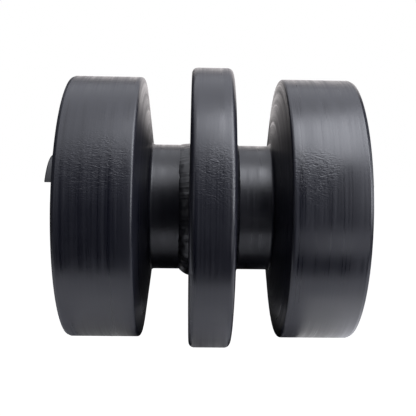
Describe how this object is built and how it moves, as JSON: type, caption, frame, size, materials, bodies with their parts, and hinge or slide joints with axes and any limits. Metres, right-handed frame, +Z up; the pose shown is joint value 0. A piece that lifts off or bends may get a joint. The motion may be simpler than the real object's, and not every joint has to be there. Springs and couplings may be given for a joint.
{
  "type": "track roller",
  "caption": "Bottom track roller: two wide wheels joined by a welded centre flange, turning on a fixed shaft whose end collars carry half-moon locating lugs.",
  "frame": {"origin": "the roller's axis, halfway between its two wheels", "axes": "+Y along the axis to the outboard end, +X the way the machine travels, +Z up; both lugs lie above the axis"},
  "size_m": [0.232, 0.262, 0.232],
  "materials": {
    "paint": "satin black paint",
    "painted_weld": "satin black paint over a weld bead",
    "ground_steel": "ground",
    "hard_steel": "lapped or machined",
    "bronze": "machined bearing bronze",
    "rubber": "matt"
  },
  "bodies": {
    "axle": {"shaft": "ground_steel", "oil_plug": "hard_steel", "fixed_seal_ring_inboard": "hard_steel", "fixed_seal_toric_inboard": "rubber", "shaft_o_ring_inboard": "rubber", "collar_inboard": "paint", "collar_pin_inboard": "hard_steel", "fixed_seal_ring_outboard": "hard_steel", "fixed_seal_toric_outboard": "rubber", "shaft_o_ring_outboard": "rubber", "collar_outboard": "paint", "collar_pin_outboard": "hard_steel"},
    "roller": {"centre_flange": "paint", "weld_outboard": "painted_weld", "weld_inboard": "painted_weld", "wheel_inboard": "paint", "bushing_inboard": "bronze", "turning_seal_ring_inboard": "hard_steel", "turning_seal_toric_inboard": "rubber", "wheel_outboard": "paint", "bushing_outboard": "bronze", "turning_seal_ring_outboard": "hard_steel", "turning_seal_toric_outboard": "rubber"}
  },
  "joints": [
    {"name": "roller_spin", "type": "hinge", "parent": "axle", "child": "roller", "pos_m": [0, 0, 0], "axis": [0, 1, 0], "continuous": true}
  ]
}
